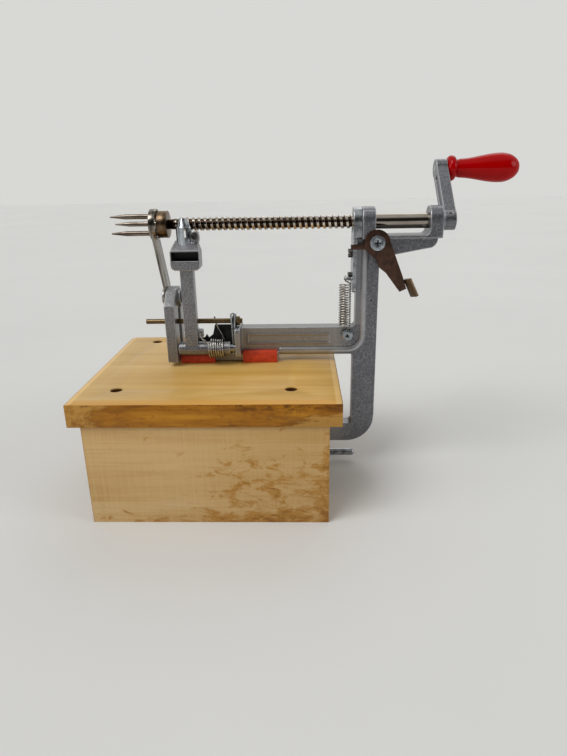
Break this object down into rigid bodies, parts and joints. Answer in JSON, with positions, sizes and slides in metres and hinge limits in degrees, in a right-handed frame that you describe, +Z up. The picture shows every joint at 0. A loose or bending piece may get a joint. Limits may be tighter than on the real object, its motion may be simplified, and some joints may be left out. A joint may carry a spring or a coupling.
{
  "type": "apple peeler",
  "caption": "Hand cranked apple peeler, corer and slicer with a lead screw, fork, sprung peeling arm and coring ring, clamped to a low wooden stand.",
  "frame": {"origin": "the middle of the front rail's underside, where the stand rests on the table", "axes": "X runs right along the lead screw towards the crank, Y runs away from the cook, Z is up"},
  "size_m": [0.3726, 0.188, 0.2792],
  "materials": {
    "varnished_wood": "varnished golden softwood, satin",
    "pale_wood": "varnished pale softwood with brown stain",
    "hammered_paint": "grey hammered enamel",
    "pad_rubber": "matt red-orange rubber",
    "red_gloss": "glossy red",
    "nickel_steel": "bright nickel plate",
    "zinc_steel": "zinc plate, satin",
    "blade_steel": "ground and polished blade steel",
    "spring_steel": "bright drawn wire",
    "brown_steel": "dark brown bronzed steel",
    "dark_steel": "dark oxidised steel",
    "black_paint": "black satin paint"
  },
  "bodies": {
    "base": {"stand_top": "varnished_wood", "stand_front_rail": "pale_wood", "stand_back_rail": "pale_wood", "stand_screws": "dark_steel", "frame": "hammered_paint", "left_pad": "pad_rubber", "right_pad": "pad_rubber", "follower_screws": "dark_steel", "lever_screw": "nickel_steel", "follower_spring": "spring_steel", "spring_screw": "nickel_steel", "spring_washer": "zinc_steel", "pivot_rod": "zinc_steel", "torsion_spring": "spring_steel", "cotter_pin": "zinc_steel", "stop_rod": "brown_steel", "rod_nut": "brown_steel", "rod_bracket": "black_paint", "corer_blade": "blade_steel", "corer_bolt": "zinc_steel", "corer_nut": "dark_steel"},
    "shaft_carrier": {"crank_washer": "zinc_steel"},
    "shaft": {"main_shaft": "nickel_steel", "fork_hub": "brown_steel", "fork_tines": "nickel_steel", "crank_arm": "hammered_paint", "crank_pin": "dark_steel", "handle_spindle": "zinc_steel"},
    "handle": {"crank_handle": "red_gloss"},
    "lever": {"release_lever": "brown_steel"},
    "follower": {"thread_follower": "zinc_steel"},
    "peeling_arm": {"peel_arm": "hammered_paint", "peel_blade": "blade_steel", "blade_screw": "dark_steel"},
    "pressure_pad": {"clamp_pad": "zinc_steel"},
    "screw": {"clamp_screw": "zinc_steel", "tommy_bar": "zinc_steel"}
  },
  "joints": [
    {"name": "shaft_feed", "type": "slide", "parent": "base", "child": "shaft_carrier", "axis": [1, 0, 0], "range_m": [0, 0.12]},
    {"name": "crank_turn", "type": "hinge", "parent": "shaft_carrier", "child": "shaft", "pos_m": [0.1945, 0.09, 0.2255], "axis": [1, 0, 0], "range_deg": [0, 8640]},
    {"name": "handle_spin", "type": "hinge", "parent": "shaft", "child": "handle", "pos_m": [0.2048, 0.13497, 0.26671], "axis": [1, 0, 0], "continuous": true},
    {"name": "lever_turn", "type": "hinge", "parent": "base", "child": "lever", "pos_m": [0.1383, 0.0762, 0.209], "axis": [0, 1, 0], "range_deg": [0, 8], "stiffness_Nm_per_rad": 0.17, "springref_deg": -27.5},
    {"name": "follower_lift", "type": "slide", "parent": "base", "child": "follower", "axis": [0, 0, 1], "range_m": [0, 0.0029], "deforming": ["follower_spring"]},
    {"name": "arm_swing", "type": "hinge", "parent": "base", "child": "peeling_arm", "pos_m": [-0.0113, 0.073, 0.1195], "axis": [1, 0, 0], "range_deg": [0, 60], "stiffness_Nm_per_rad": 0.06, "springref_deg": -28.65, "deforming": ["torsion_spring"]},
    {"name": "pad_lift", "type": "slide", "parent": "base", "child": "pressure_pad", "axis": [0, 0, 1], "range_m": [-0.00208, 0]},
    {"name": "screw_turn", "type": "hinge", "parent": "pressure_pad", "child": "screw", "pos_m": [0.092, 0.09, 0], "axis": [0, 0, 1], "range_deg": [-500, 0]}
  ],
  "couplings": [
    {"joint": "shaft_feed", "follows": "crank_turn", "m_per_rad": 0.00079577},
    {"joint": "lever_turn", "follows": "follower_lift", "rad_per_m": 48.077},
    {"joint": "screw_turn", "follows": "pad_lift", "rad_per_m": 4188.8}
  ]
}
